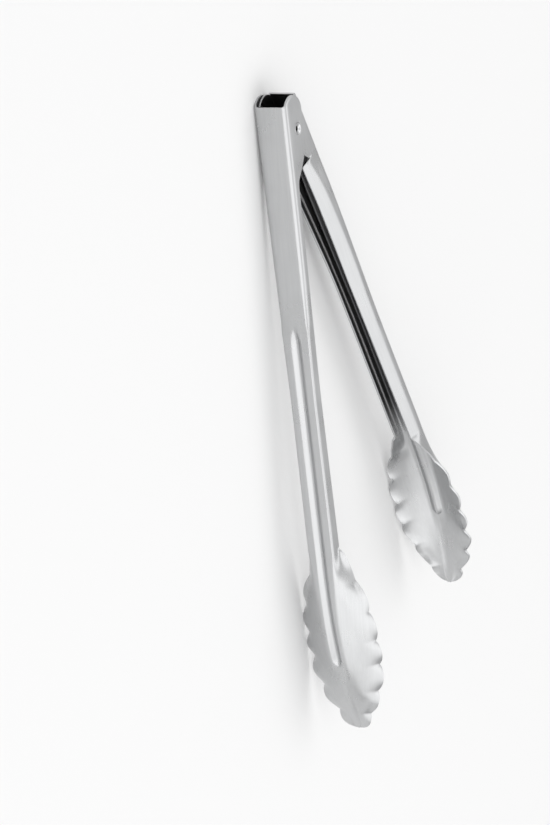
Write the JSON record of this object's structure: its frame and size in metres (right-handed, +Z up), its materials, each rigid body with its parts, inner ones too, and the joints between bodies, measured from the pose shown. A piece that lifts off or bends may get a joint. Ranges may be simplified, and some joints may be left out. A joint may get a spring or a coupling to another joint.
{
  "type": "kitchen tongs",
  "caption": "Kitchen tongs with scalloped, spoon-shaped jaws: pressed sheet-metal arms turn on a hollow-ended rivet and a coil spring pushes them open.",
  "frame": {"origin": "centre of the bounding box on the surface that the tongs lie on", "axes": "+X from the pivot to the jaw tips, midway between the arms; +Y towards the inner arm; +Z up, off the surface, nearly along the pivot's axis"},
  "size_m": [0.3004, 0.1204, 0.0386],
  "materials": {
    "satin_steel": "satin stainless sheet with a fine brushed grain along the arms, softly polished on the bends",
    "rivet_steel": "plain turned stainless, smooth in the dished ends",
    "spring_steel": "drawn stainless spring wire, slightly dull"
  },
  "bodies": {
    "outer": {"outer_arm": "satin_steel", "pivot_rivet": "rivet_steel", "torsion_spring": "spring_steel"},
    "inner": {"inner_arm": "satin_steel"}
  },
  "joints": [
    {"name": "arm_pivot", "type": "hinge", "parent": "outer", "child": "inner", "pos_m": [-0.13477, 0, 0.00838], "axis": [0.0457, 0, -0.999], "range_deg": [0, 21.7], "stiffness_Nm_per_rad": 0.6, "springref_deg": -28.65, "deforming": ["torsion_spring"]}
  ]
}
